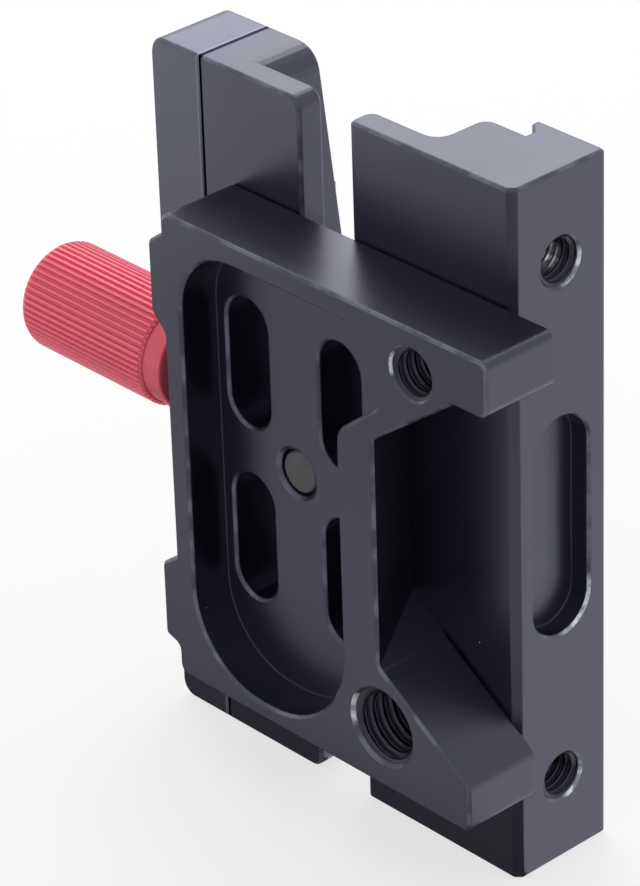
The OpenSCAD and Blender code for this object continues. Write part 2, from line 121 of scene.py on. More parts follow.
class FinishSettings(bpy.types.PropertyGroup):
    anodised: FloatVectorProperty(
        name="Black anodising", description="Colour of the milled aluminium pieces",
        subtype="COLOR", size=3, default=(0.0028, 0.0030, 0.0062), min=0, max=1)
    # Bevel colour: partly real wear, partly a painted highlight.
    worn_edge_and_highlight: FloatVectorProperty(
        name="Worn edge and painted highlight", description="Colour of the machined edge bevels",
        subtype="COLOR", size=3, default=(0.1, 0.102, 0.125), min=0, max=1)
    red: FloatVectorProperty(
        name="Red anodising", description="Colour of the knob",
        subtype="COLOR", size=3, default=(1.0, 0.21, 0.29), min=0, max=1)
    sheen_tint: FloatVectorProperty(
        name="Anodised sheen", description="Tint of the light that the black anodising mirrors",
        subtype="COLOR", size=3, default=(0.72, 0.74, 1.0), min=0, max=1)
    body_ior: FloatProperty(
        name="Body IOR", description="Refractive index of the body's sealed oxide layer", default=2.08, min=1.3, max=2.6)
    plate_ior: FloatProperty(
        name="Plate IOR", description="Refractive index of the plate's sealed oxide layer", default=2.02, min=1.3, max=2.6)
    jaw_ior: FloatProperty(
        name="Jaw IOR", description="Refractive index of the jaw's sealed oxide layer", default=2.36, min=1.3, max=2.6)
    # Lower index so the threads mirror less light: painted shade inside the holes.
    thread_shade_ior: FloatProperty(
        name="Thread shade IOR", description="Refractive index of the threads' thinner oxide layer", default=1.72, min=1.3, max=2.6)
    roughness: FloatProperty(
        name="Anodised roughness", description="Roughness of the blasted surface", default=0.3, min=0.1, max=0.8)
    # Bright metal at cut rims and countersinks, also the colour of painted glints.
    bare: FloatVectorProperty(
        name="Bare aluminium and painted glint", description="Colour of the cut metal in the countersinks",
        subtype="COLOR", size=3, default=(0.86, 0.89, 0.93), min=0, max=1)
    # These sizes place the recess rim's spot of bare metal and painted highlight.
    recess_l: FloatProperty(
        name="Recess length", description="Length of the oval recess, for its bare rim", default=28.6 * MM, unit="LENGTH")
    recess_w: FloatProperty(
        name="Recess width", description="Width of the oval recess, for its bare rim", default=8.9 * MM, unit="LENGTH")
    dust: FloatVectorProperty(
        name="Dust", description="Colour of the dust specks",
        subtype="COLOR", size=3, default=(0.4, 0.4, 0.42), min=0, max=1)
    # Painted shade: near black colour in the joint between block and jaw.
    joint: FloatVectorProperty(
        name="Joint", description="Colour deep in the joint between block and jaw",
        subtype="COLOR", size=3, default=(0.001, 0.001, 0.002), min=0, max=1)
    # Painted highlight on the jaw's bevel beside that joint.
    joint_highlight: FloatVectorProperty(
        name="Joint highlight", description="Colour of the jaw's polished bevel at that joint",
        subtype="COLOR", size=3, default=(0.13, 0.13, 0.15), min=0, max=1)
    screw_end: FloatVectorProperty(
        name="Screw end", description="Colour of the dull centre screw",
        subtype="COLOR", size=3, default=(0.16, 0.16, 0.17), min=0, max=1)
    steel: FloatVectorProperty(
        name="Steel", description="Colour of the turned steel pieces",
        subtype="COLOR", size=3, default=(0.6, 0.6, 0.61), min=0, max=1)
    bronze: FloatVectorProperty(
        name="Bronze", description="Colour of the threaded bush",
        subtype="COLOR", size=3, default=(0.52, 0.36, 0.16), min=0, max=1)



class StageSettings(bpy.types.PropertyGroup):
    azimuth: FloatProperty(
        name="Azimuth", description="Turn of the camera round the part, from the front",
        default=math.radians(47.8), subtype="ANGLE", unit="ROTATION")
    elevation: FloatProperty(
        name="Elevation", description="Height of the camera over the horizon",
        default=math.radians(29.71), subtype="ANGLE", unit="ROTATION")
    roll: FloatProperty(
        name="Roll", description="Turn of the camera about its own axis",
        default=math.radians(-1.94), subtype="ANGLE", unit="ROTATION")
    distance: FloatProperty(
        name="Distance", description="From the aim to the camera", default=556.5 * MM, unit="LENGTH")
    aim: FloatVectorProperty(
        name="Aim", description="Point that the camera looks at",
        subtype="TRANSLATION", size=3, default=(3.036 * MM, 1.803 * MM, 43.682 * MM))
    lens: FloatProperty(
        name="Lens", description="Focal length on a 36 mm sensor, in millimetres", default=190.25)
    world: FloatProperty(
        name="World", description="Strength of the white surroundings", default=0.72, min=0)
    key: FloatProperty(
        name="Key", description="Power of the softbox behind the part, in watts", default=4.8, min=0)
    key_distance: FloatProperty(
        name="Key distance", description="From the part to the softbox", default=1.1, unit="LENGTH")
    key_azimuth: FloatProperty(
        name="Key azimuth", description="Turn of the softbox round the part, from the back",
        default=math.radians(47.8), subtype="ANGLE", unit="ROTATION")
    key_elevation: FloatProperty(
        name="Key elevation", description="Height of the softbox over the horizon",
        default=math.radians(42), subtype="ANGLE", unit="ROTATION")
    floor_white: FloatProperty(
        name="Floor white", description="Share of the floor that the camera sees as plain white", default=0.68, min=0, max=1)
    shade: FloatProperty(
        name="Front shade", description="Dimming of the floor that the front faces mirror", default=0.3, min=0, max=1)
    side_shade: FloatProperty(
        name="Side shade", description="Further dimming of that floor past the side's X", default=0.13, min=0, max=1)
    far_shade: FloatProperty(
        name="Far shade", description="The same, where only the block's upper front mirrors it", default=0.52, min=0, max=1)
    under_shade: FloatProperty(
        name="Under shade", description="Further dimming close to the part's front, under its plate",
        default=0.42, min=0, max=1)
    under_reach: FloatProperty(
        name="Under reach", description="How far in front of the part that dimming reaches", default=17 * MM, unit="LENGTH")
    side_x: FloatProperty(
        name="Side X", description="X from which the side shade is full", default=-106 * MM, unit="LENGTH")
    shade_reach: FloatProperty(
        name="Shade reach", description="Distance over which that dimming fades", default=0.12, unit="LENGTH")
    floor_half: FloatProperty(
        name="Floor", description="Half the floor's width", default=3.0, unit="LENGTH")


def settings():
    return bpy.context.scene.quick_release


# Node helpers

def new_group(name, inputs, outputs):
    """A shader node group with its sockets; returns the group and its input and output nodes."""
    group = bpy.data.node_groups.new(name, "ShaderNodeTree")
    for label, kind, default in inputs:
        socket = group.interface.new_socket(label, in_out="INPUT", socket_type=kind)
        if default is not None:
            socket.default_value = default
    for label, kind in outputs:
        group.interface.new_socket(label, in_out="OUTPUT", socket_type=kind)
    return group, group.nodes.new("NodeGroupInput"), group.nodes.new("NodeGroupOutput")


def maths(tree, operation, first, second=None, third=None, clamp=False):
    """A Math node whose inputs are sockets or plain numbers."""
    node = tree.nodes.new("ShaderNodeMath")
    node.operation = operation
    node.use_clamp = clamp
    for socket, value in zip(node.inputs, (first, second, third)):
        put(tree, socket, value)
    return node.outputs[0]


def put(tree, socket, value):
    if isinstance(value, bpy.types.NodeSocket):
        tree.links.new(value, socket)
    elif value is not None:
        socket.default_value = value


def ramp(tree, value, low, high, out_low=0.0, out_high=1.0):
    """Smooth step from out_low to out_high while the value goes from low to high."""
    node = tree.nodes.new("ShaderNodeMapRange")
    node.interpolation_type = "SMOOTHSTEP"
    for name, number in (("Value", value), ("From Min", low), ("From Max", high),
                         ("To Min", out_low), ("To Max", out_high)):
        put(tree, node.inputs[name], number)
    return node.outputs["Result"]


def mixed(tree, factor, first, second):
    """A colour between two colours."""
    node = tree.nodes.new("ShaderNodeMix")
    node.data_type = "RGBA"
    put(tree, node.inputs["Factor"], factor)
    for socket, colour in ((node.inputs[6], first), (node.inputs[7], second)):
        put(tree, socket, colour if isinstance(colour, bpy.types.NodeSocket) else (*colour, 1.0))
    return node.outputs[2]


def noise(tree, scale, detail=2.0, roughness=0.5, vector=None):
    node = tree.nodes.new("ShaderNodeTexNoise")
    put(tree, node.inputs["Scale"], scale)
    node.inputs["Detail"].default_value = detail
    node.inputs["Roughness"].default_value = roughness
    if vector is None:
        vector = tree.nodes.new("ShaderNodeTexCoord").outputs["Object"]
    tree.links.new(vector, node.inputs["Vector"])
    return node.outputs["Fac"]


def place(tree, group, **values):
    """A node of the group with its inputs set; underscores stand for spaces."""
    node = tree.nodes.new("ShaderNodeGroup")
    node.node_tree = group
    for name, value in values.items():
        put(tree, node.inputs[name.replace("_", " ")], value)
    return node


# Shared effects

def machined_edge_group():
    """Masks the 45 degree bevels that the cutter leaves along the edges, for their wear and painted highlight."""
    group, given, out = new_group(
        "Machined edge",
        [("Width", "NodeSocketFloat", 0.012), ("Wear And Highlight Scale", "NodeSocketFloat", 260.0)],
        [("Mask", "NodeSocketFloat")])
    normal = group.nodes.new("ShaderNodeTexCoord").outputs["Normal"]
    split = group.nodes.new("ShaderNodeSeparateXYZ")
    group.links.new(normal, split.inputs[0])
    sizes = [maths(group, "ABSOLUTE", split.outputs[i]) for i in range(3)]
    largest = maths(group, "MAXIMUM", maths(group, "MAXIMUM", sizes[0], sizes[1]), sizes[2])
    off = maths(group, "ABSOLUTE", maths(group, "SUBTRACT", largest, math.sqrt(0.5)))
    bevel = ramp(group, off, maths(group, "MULTIPLY", given.outputs["Width"], 0.3), given.outputs["Width"], 1.0, 0.0)
    # Patchy noise breaks the bevels' wear and painted highlight into segments.
    wear_and_highlight_patches = ramp(group, noise(group, given.outputs["Wear And Highlight Scale"], 3.0), 0.42, 0.62, 0.12, 1.0)
    group.links.new(maths(group, "MULTIPLY", bevel, wear_and_highlight_patches), out.inputs["Mask"])
    return group


def blasted_group():
    """Fine bead blasted grain: a height for bump and a slow tone change."""
    group, given, out = new_group(
        "Blasted grain",
        [("Grain Scale", "NodeSocketFloat", 5200.0), ("Tone Scale", "NodeSocketFloat", 42.0)],
        [("Height", "NodeSocketFloat"), ("Tone", "NodeSocketFloat")])
    fine = noise(group, given.outputs["Grain Scale"], 3.0, 0.6)
    coarse = noise(group, maths(group, "MULTIPLY", given.outputs["Grain Scale"], 0.24), 2.0)
    group.links.new(maths(group, "ADD", maths(group, "MULTIPLY", fine, 0.7), maths(group, "MULTIPLY", coarse, 0.3)),
                    out.inputs["Height"])
    group.links.new(ramp(group, noise(group, given.outputs["Tone Scale"], 4.0), 0.3, 0.7, 0.0, 1.0), out.inputs["Tone"])
    return group


def dust_group():
    """Few tiny pale specks."""
    group, given, out = new_group(
        "Dust specks",
        [("Scale", "NodeSocketFloat", 240.0), ("Size", "NodeSocketFloat", 0.04), ("Share", "NodeSocketFloat", 0.12)],
        [("Mask", "NodeSocketFloat")])
    cells = group.nodes.new("ShaderNodeTexVoronoi")
    cells.feature = "F1"
    group.links.new(group.nodes.new("ShaderNodeTexCoord").outputs["Object"], cells.inputs["Vector"])
    group.links.new(given.outputs["Scale"], cells.inputs["Scale"])
    pick = group.nodes.new("ShaderNodeSeparateColor")
    group.links.new(cells.outputs["Color"], pick.inputs[0])
    chosen = maths(group, "LESS_THAN", pick.outputs[0], given.outputs["Share"])
    size = maths(group, "MULTIPLY", given.outputs["Size"], maths(group, "ADD", pick.outputs[1], 0.3))
    speck = maths(group, "LESS_THAN", cells.outputs["Distance"], size)
    group.links.new(maths(group, "MULTIPLY", chosen, speck), out.inputs["Mask"])
    return group


def bare_and_glint_spot_group():
    """Masks the faces near one point, for bright metal that the cutter has left and for painted glints."""
    group, given, out = new_group(
        "Bare metal and painted glint spot",
        [("Centre", "NodeSocketVector", None), ("Reach", "NodeSocketFloat", 0.003)],
        [("Mask", "NodeSocketFloat")])
    place_of = group.nodes.new("ShaderNodeTexCoord").outputs["Object"]
    gap = group.nodes.new("ShaderNodeVectorMath")
    gap.operation = "DISTANCE"
    group.links.new(place_of, gap.inputs[0])
    group.links.new(given.outputs["Centre"], gap.inputs[1])
    near = ramp(group, gap.outputs["Value"], maths(group, "MULTIPLY", given.outputs["Reach"], 0.55),
                given.outputs["Reach"], 1.0, 0.0)
    patchy = ramp(group, noise(group, 900.0, 3.0), 0.35, 0.6, 0.25, 1.0)
    group.links.new(maths(group, "MULTIPLY", near, patchy), out.inputs["Mask"])
    return group


def seam_group():
    """Masks a band beside a plane across X, on the faces that don't look along X; it falls off at the band's width."""
    group, given, out = new_group(
        "Seam band",
        [("Seam X", "NodeSocketFloat", 0.0), ("Width", "NodeSocketFloat", 0.0005)],
        [("Mask", "NodeSocketFloat")])
    split = group.nodes.new("ShaderNodeSeparateXYZ")
    where = group.nodes.new("ShaderNodeTexCoord")
    group.links.new(where.outputs["Object"], split.inputs[0])
    facing = group.nodes.new("ShaderNodeSeparateXYZ")
    group.links.new(where.outputs["Normal"], facing.inputs[0])
    aside = maths(group, "LESS_THAN", maths(group, "ABSOLUTE", facing.outputs[0]), 0.8)
    gap = maths(group, "ABSOLUTE", maths(group, "SUBTRACT", split.outputs[0], given.outputs["Seam X"]))
    band = ramp(group, gap, maths(group, "MULTIPLY", given.outputs["Width"], 0.8), given.outputs["Width"], 1.0, 0.0)
    group.links.new(maths(group, "MULTIPLY", band, aside), out.inputs["Mask"])
    return group


EFFECTS = {}


def effect(name):
    makers = {"edge": machined_edge_group, "grain": blasted_group, "dust": dust_group, "bare": bare_and_glint_spot_group,
              "seam": seam_group}
    if name not in EFFECTS:
        EFFECTS[name] = makers[name]()
    return EFFECTS[name]


# Materials

def blank(name):
    material = bpy.data.materials.new(name)
    material.use_nodes = True
    return material, material.node_tree, material.node_tree.nodes["Principled BSDF"]


def bumped(tree, shader, height, distance, rounding=0.0, strength=1.0):
    """Bump under the shader; a rounding above 0 softens the edges between faces over that distance."""
    bump = tree.nodes.new("ShaderNodeBump")
    if rounding:
        soft = tree.nodes.new("ShaderNodeBevel")
        soft.samples = 4
        soft.inputs["Radius"].default_value = rounding
        tree.links.new(soft.outputs["Normal"], bump.inputs["Normal"])
    bump.inputs["Distance"].default_value = distance
    bump.inputs["Strength"].default_value = strength
    tree.links.new(height, bump.inputs["Height"])
    tree.links.new(bump.outputs["Normal"], shader.inputs["Normal"])


def anodised_black(name, ior, bare_and_glint_spots=(), rim=None, joint=None, plain_corner=None, rounding=0.3 * MM):
    """Bead blasted aluminium under black anodising, with bevels lighter from wear and from a painted highlight, and
    bare metal placed as painted glints near the given points.

    A bare spot is a centre, a reach and whether only bevels show it. The rim and the joint are the widths of the
    painted highlight band and the painted shade band along the joint between block and jaw. Bevels past the plain
    corner's X and before its Y keep the blasted finish, without the worn edge colour and its painted highlight.
    """
    finish = settings().finish
    material, tree, shader = blank(name)
    grain = place(tree, effect("grain"))
    edge = place(tree, effect("edge")).outputs["Mask"]
    if plain_corner:
        split = tree.nodes.new("ShaderNodeSeparateXYZ")
        tree.links.new(tree.nodes.new("ShaderNodeTexCoord").outputs["Object"], split.inputs[0])
        inside = maths(tree, "MULTIPLY", maths(tree, "GREATER_THAN", split.outputs[0], plain_corner[0]),
                       maths(tree, "LESS_THAN", split.outputs[1], plain_corner[1]))
        edge = maths(tree, "MULTIPLY", edge, maths(tree, "SUBTRACT", 1.0, inside))
    dust = place(tree, effect("dust"))
    base = tuple(finish.anodised)
    darker = tuple(c * 0.86 for c in base)
    colour = mixed(tree, grain.outputs["Tone"], darker, base)
    # Bevels take the worn edge colour, which is partly wear and partly a painted highlight.
    colour = mixed(tree, edge, colour, finish.worn_edge_and_highlight)
    # Painted highlight: a light band on the jaw's bevel at the joint.
    if rim:
        band = place(tree, effect("seam"), Seam_X=SEAM_X, Width=rim)
        colour = mixed(tree, band.outputs["Mask"], colour, finish.joint_highlight)
    bare = 0.0
    # Bare metal spots sit where glints show, so each is partly a painted glint.
    for centre, reach, on_bevels in bare_and_glint_spots:
        spot = place(tree, effect("bare"), Centre=tuple(centre), Reach=reach).outputs["Mask"]
        bare = maths(tree, "MAXIMUM", bare, maths(tree, "MULTIPLY", spot, ramp(tree, edge, 0.0, 0.15)) if on_bevels else spot)
    if bare_and_glint_spots:
        colour = mixed(tree, bare, colour, finish.bare)
    metal = bare
    # Painted shade: a near black, metallic band along the joint.
    if joint:
        band = place(tree, effect("seam"), Seam_X=SEAM_X, Width=joint)
        colour = mixed(tree, band.outputs["Mask"], colour, finish.joint)
        metal = maths(tree, "MAXIMUM", metal, band.outputs["Mask"])
    put(tree, shader.inputs["Metallic"], metal)
    colour = mixed(tree, maths(tree, "MULTIPLY", dust.outputs["Mask"], 0.7), colour, finish.dust)
    tree.links.new(colour, shader.inputs["Base Color"])
    rough = maths(tree, "MULTIPLY_ADD", grain.outputs["Tone"], 0.05, finish.roughness)
    tree.links.new(maths(tree, "MULTIPLY_ADD", edge, -0.06, rough), shader.inputs["Roughness"])
    shader.inputs["IOR"].default_value = ior
    shader.inputs["Specular Tint"].default_value = (*finish.sheen_tint, 1.0)
    bumped(tree, shader, grain.outputs["Height"], 0.016 * MM, rounding)
    return material


def anodised_red():
    """Red anodised knurl, darker in the grooves by painted shade, paler on the ridges."""
    finish = settings().finish
    material, tree, shader = blank("red_anodised")
    grain = place(tree, effect("grain"))
    base = tuple(finish.red)
    # Painted shade colour for the grooves between the ridges.
    deep = (base[0] * 0.84, base[1] * 0.66, base[2] * 0.66)
    colour = mixed(tree, grain.outputs["Tone"], tuple(0.9 * c for c in base), base)
    geometry = tree.nodes.new("ShaderNodeTexCoord").outputs["Object"]
    split = tree.nodes.new("ShaderNodeSeparateXYZ")
    tree.links.new(geometry, split.inputs[0])
    low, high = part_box("knob")
    axis_y, axis_z = (low.y + high.y) / 2, (low.z + high.z) / 2
    dy = maths(tree, "SUBTRACT", split.outputs[1], axis_y)
    dz = maths(tree, "SUBTRACT", split.outputs[2], axis_z)
    radius = maths(tree, "SQRT", maths(tree, "ADD", maths(tree, "MULTIPLY", dy, dy), maths(tree, "MULTIPLY", dz, dz)))
    crest = (high.y - low.y) / 2
    # Painted shade: the colour darkens from the ridges' crest down into the grooves.
    ridge = ramp(tree, radius, crest - 0.36 * MM, crest - 0.05 * MM)
    colour = mixed(tree, ridge, deep, colour)
    tree.links.new(colour, shader.inputs["Base Color"])
    tree.links.new(maths(tree, "MULTIPLY_ADD", grain.outputs["Tone"], 0.08, 0.4), shader.inputs["Roughness"])
    shader.inputs["Metallic"].default_value = 0.35
    bumped(tree, shader, grain.outputs["Height"], 0.01 * MM)
    return material


def turned_metal(name, colour, roughness, axis=0):
    """Bare turned metal with fine rings across the given axis."""
    material, tree, shader = blank(name)
    place_of = tree.nodes.new("ShaderNodeTexCoord").outputs["Object"]
    stretch = tree.nodes.new("ShaderNodeVectorMath")
    stretch.operation = "MULTIPLY"
    tree.links.new(place_of, stretch.inputs[0])
    factors = [0.15, 0.15, 0.15]
    factors[axis] = 1.0
    stretch.inputs[1].default_value = factors
    lines = noise(tree, 6000.0, 2.0, 0.5, stretch.outputs[0])
    grain = place(tree, effect("grain"), Tone_Scale=160.0)
    tone = mixed(tree, grain.outputs["Tone"], tuple(0.8 * c for c in colour), colour)
    tree.links.new(tone, shader.inputs["Base Color"])
    shader.inputs["Metallic"].default_value = 1.0
    tree.links.new(maths(tree, "MULTIPLY_ADD", lines, 0.16, roughness - 0.08), shader.inputs["Roughness"])
    bumped(tree, shader, lines, 0.006 * MM)
    return material


# Meshes

def mesh_piece(name, points, faces, smooth=True):
    mesh = bpy.data.meshes.new(name)
    mesh.from_pydata([tuple(p) for p in points], [], faces)
    mesh.validate()
    for polygon in mesh.polygons:
        polygon.use_smooth = smooth
    piece = bpy.data.objects.new(name, mesh)
    bpy.context.scene.collection.objects.link(piece)
    return piece


def ring_faces(rows, sides, closed_rows=False):
    """Quads between rows of points, each row a closed ring."""
    last = rows if closed_rows else rows - 1
    return [(r * sides + s, r * sides + (s + 1) % sides, (r + 1) % rows * sides + (s + 1) % sides,
             (r + 1) % rows * sides + s) for r in range(last) for s in range(sides)]


def crest(phase):
    """Height of a V thread from root 0 to crest 1 at a phase of the turn, with flats at both."""
    rise = 1 - abs(2 * (phase % 1) - 1)
    return min(1.0, max(0.0, (rise - 0.125) / 0.7))


def threaded_lining(name, start, direction, length, major, pitch):
    """Closed sleeve that lines a bore with a right-handed internal thread."""
    thread = settings().thread
    sides = thread.sides
    depth = 0.54 * pitch
    embed = 0.12 * MM
    cover = 0.015 * MM
    rows = max(2, round(length / pitch * thread.steps)) + 1
    turn = Vector(direction).to_track_quat("Z", "X").to_matrix()
    rings = []
    for row in range(rows):
        along = length * row / (rows - 1)
        fade = min(1.0, along / (0.1 * pitch), (length - along) / (0.1 * pitch))
        rings.append((along, [major - cover - depth * fade * crest(along / pitch - s / sides) for s in range(sides)]))
    for row in reversed(range(rows)):
        rings.append((length * row / (rows - 1), [major + embed] * sides))
    points = []
    for along, radii in rings:
        for s, radius in enumerate(radii):
            angle = FULL_TURN * s / sides
            points.append(Vector(start) + turn @ Vector((radius * math.cos(angle), radius * math.sin(angle), along)))
    faces = ring_faces(len(rings), sides, closed_rows=True)
    return mesh_piece(name, points, [face[::-1] for face in faces])


def swept(name, path, radius, sides):
    """Round wire along a path of points, with closed ends."""
    points = []
    side_way = None
    for i, at in enumerate(path):
        ahead = (path[min(i + 1, len(path) - 1)] - path[max(i - 1, 0)]).normalized()
        side_way = (ahead.orthogonal() if side_way is None else side_way - ahead * side_way.dot(ahead)).normalized()
        up_way = ahead.cross(side_way)
        for s in range(sides):
            angle = FULL_TURN * s / sides
            points.append(at + radius * (math.cos(angle) * side_way + math.sin(angle) * up_way))
    faces = ring_faces(len(path), sides)
    faces.append(tuple(range(sides))[::-1])
    faces.append(tuple(range(len(points) - sides, len(points))))
    return mesh_piece(name, points, faces)


def turned_rod(name, axis_y, axis_z, sections, sides):
    """Solid of revolution along X; each section is an X and its radii round the rod."""
    points = []
    for x, radii in sections:
        for s, radius in enumerate(radii):
            angle = FULL_TURN * s / sides
            points.append((x, axis_y + radius * math.cos(angle), axis_z + radius * math.sin(angle)))
    faces = ring_faces(len(sections), sides)
    faces.append(tuple(range(sides))[::-1])
    faces.append(tuple(range(len(points) - sides, len(points))))
    return mesh_piece(name, points, [face[::-1] for face in faces])


def turned_ring(name, axis_y, axis_z, profile, sides):
    """Ring about X; the profile is a closed outline of X and radius, anticlockwise."""
    points = []
    for x, radius in profile:
        for s in range(sides):
            angle = FULL_TURN * s / sides
            points.append((x, axis_y + radius * math.cos(angle), axis_z + radius * math.sin(angle)))
    return mesh_piece(name, points, ring_faces(len(profile), sides, closed_rows=True), smooth=False)


def ridge_radius(y, z, crest_r):
    """Radius of the ridged grip in the direction of a point seen from the knob's axis."""
    knob = settings().knob
    share = math.atan2(y, -z) % FULL_TURN / FULL_TURN * knob.ridges % 1
    marks = ((0, 0), (0.32, 0), (0.5, 1), (0.82, 1), (1, 0))
    for (start, low), (end, high) in zip(marks, marks[1:]):
        if share <= end:
            return crest_r - knob.groove * (low + (high - low) * (share - start) / (end - start))


def finish_cad(nodes, material):
    for node in nodes:
        piece = frame["nodes"][node]
        piece.data.materials.clear()
        piece.data.materials.append(material)


# Operators

class QR_OT_anodised_blocks(bpy.types.Operator):
    """Gives the milled pieces their black anodised finish"""
    bl_idname = "quick_release.anodised_blocks"
    bl_label = "Anodised blocks"

    def execute(self, context):
        finish = settings().finish
        side = MOUNTS["side_thread_upper"]
        radius = side["dims"]["r_mm"] * MM
        low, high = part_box("clamp_body")
        spots = []
        # Countersink spots on the side holes, at their lower right: bare metal and painted glint.
        for name in ("side_thread_upper", "side_thread_lower"):
            _, y, z = MOUNTS[name]["pos_m"]
            spots.append(((high.x, y + 0.85 * radius, z - 0.6 * radius), 1.0 * radius, True))
        # Spot on the recess's lower rim: bare metal and painted highlight.
        _, y, _ = side["pos_m"]
        middle = (low.z + high.z) / 2
        spots.append(((high.x, y + finish.recess_w / 2, middle - finish.recess_l * 0.45), 0.6 * finish.recess_w, True))
        # Bevels at this corner get no worn edge colour and no painted highlight.
        corner = (high.x - 1.2 * MM, low.y + 1.2 * MM)
        body = anodised_black("anodised_body", finish.body_ior, spots, joint=0.48 * MM, plain_corner=corner)
        finish_cad(["clamp_body"], body)
        front_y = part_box("front_plate")[0].y
        # Spots on the tripod holes' left rims: bare metal and painted glint.
        spots = []
        for name in ("small_tripod_thread", "large_tripod_thread"):
            x, _, z = MOUNTS[name]["pos_m"]
            radius = MOUNTS[name]["dims"]["r_mm"] * MM
            spots.append(((x - 1.1 * radius, front_y, z + 0.1 * radius), 0.6 * radius, True))
        finish_cad(["front_plate"], anodised_black("anodised_plate", finish.plate_ior, spots))
        # The jaw gets the joint's painted highlight band and a narrower painted shade band.
        jaw = anodised_black("anodised_jaw", finish.jaw_ior, rim=0.62 * MM, joint=0.2 * MM)
        finish_cad(["moving_jaw"], jaw)
        return {"FINISHED"}


class QR_OT_knob(bpy.types.Operator):
    """Gives knob and washer their red anodised finish, with the collar's skirt and the plug over the grub screw"""
    bl_idname = "quick_release.knob"
    bl_label = "Red knob"

    def execute(self, context):
        knob = settings().knob
        material = anodised_red()
        finish_cad(["knob", "thrust_washer"], material)
        low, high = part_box("knob")
        axis_y, axis_z = (low.y + high.y) / 2, (low.z + high.z) / 2
        jaw_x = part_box("moving_jaw")[0].x
        washer_r = (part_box("thrust_washer")[1].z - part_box("thrust_washer")[0].z) / 2
        inner = washer_r + knob.skirt_gap
        start, end = high.x - knob.skirt_wall, jaw_x - knob.skirt_gap
        skirt = turned_ring("collar_skirt", axis_y, axis_z, [
            (start, inner), (end, inner), (end, inner + 0.5 * knob.skirt_wall),
            (end - 0.4 * knob.skirt_wall, inner + knob.skirt_wall), (start, inner + 1.4 * knob.skirt_wall)], 96)
        plug = self.ridged_plug(axis_y, axis_z, (high.y - low.y) / 2)
        for piece in (skirt, plug):
            piece.data.materials.append(material)
            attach(piece, "knob")
        return {"FINISHED"}

    def ridged_plug(self, axis_y, axis_z, crest_r):
        """Plug over the grub screw, with its upper end ridged like the grip round it."""
        knob = settings().knob
        low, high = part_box("knob_grub_screw")
        x, radius = (low.x + high.x) / 2, (high.x - low.x) / 2
        points = []
        for i in range(knob.plug_steps + 1):
            y = radius * (2 * i / knob.plug_steps - 1) * 0.999
            reach = math.sqrt(radius ** 2 - y ** 2)
            flat = math.sqrt(crest_r ** 2 - y ** 2)
            top = flat * ridge_radius(y, flat, crest_r) / crest_r
            foot = high.z - axis_z + knob.skirt_gap
            for along, height in ((-reach, foot), (reach, foot), (reach, top), (-reach, top)):
                points.append((x + along, axis_y + y, axis_z + height))
        last = 4 * knob.plug_steps
        faces = [face[::-1] for face in ring_faces(knob.plug_steps + 1, 4)]
        faces += [(0, 1, 2, 3), (last + 3, last + 2, last + 1, last)]
        return mesh_piece("grub_plug", points, faces, smooth=False)


class QR_OT_hardware(bpy.types.Operator):
    """Gives screws, pins, bush and clip their bare metal finishes"""
    bl_idname = "quick_release.hardware"
    bl_label = "Hardware"

    def execute(self, context):
        finish = settings().finish
        finish_cad(["centre_screw"], turned_metal("turned_steel_screw", tuple(finish.screw_end), 0.45, axis=1))
        finish_cad(["plate_dowel_upper", "plate_dowel_lower"],
                   turned_metal("ground_steel_dowel", tuple(finish.steel), 0.3, axis=1))
        finish_cad(["guide_pin_upper", "guide_pin_lower"],
                   turned_metal("ground_steel_pin", tuple(finish.steel), 0.22, axis=0))
        finish_cad(["thread_bush"], turned_metal("turned_bronze", tuple(finish.bronze), 0.35, axis=0))
        finish_cad(["retaining_clip"], turned_metal("clip_spring_steel", (0.3, 0.3, 0.31), 0.4, axis=0))
        finish_cad(["knob_grub_screw"], turned_metal("black_oxide_steel", (0.06, 0.06, 0.06), 0.45, axis=2))
        return {"FINISHED"}


class QR_OT_bore_threads(bpy.types.Operator):
    """Lines the tripod and side holes with their threads"""
    bl_idname = "quick_release.bore_threads"
    bl_label = "Bore threads"

    def execute(self, context):
        thread = settings().thread
        pitches = {"small_tripod_thread": thread.small_pitch, "large_tripod_thread": thread.large_pitch,
                   "side_thread_upper": thread.side_pitch, "side_thread_lower": thread.side_pitch}
        finish = settings().finish
        _, y, z = MOUNTS["side_thread_upper"]["pos_m"]
        radius = MOUNTS["side_thread_upper"]["dims"]["r_mm"] * MM
        # A painted glint deep inside the upper side hole, in the bare aluminium colour and metallic.
        lit = ((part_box("clamp_body")[1].x - 1.8 * radius, y + 0.85 * radius, z - 0.5 * radius), 1.1 * radius, False)
        # Darker copy of the black anodising for the threads: painted shade in the holes.
        material = anodised_black("anodised_thread_painted_shade", finish.thread_shade_ior, [lit], rounding=0)
        for name, pitch in pitches.items():
            mount = MOUNTS[name]
            length = mount["dims"]["length_mm"] * MM
            way = Vector(mount["axis"])
            start = Vector(mount["pos_m"]) + way * length / 2
            piece = threaded_lining(name + "_lining", start, -way, length, mount["dims"]["r_mm"] * MM, pitch)
            piece.data.materials.append(material)
            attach(piece, "body")
        return {"FINISHED"}


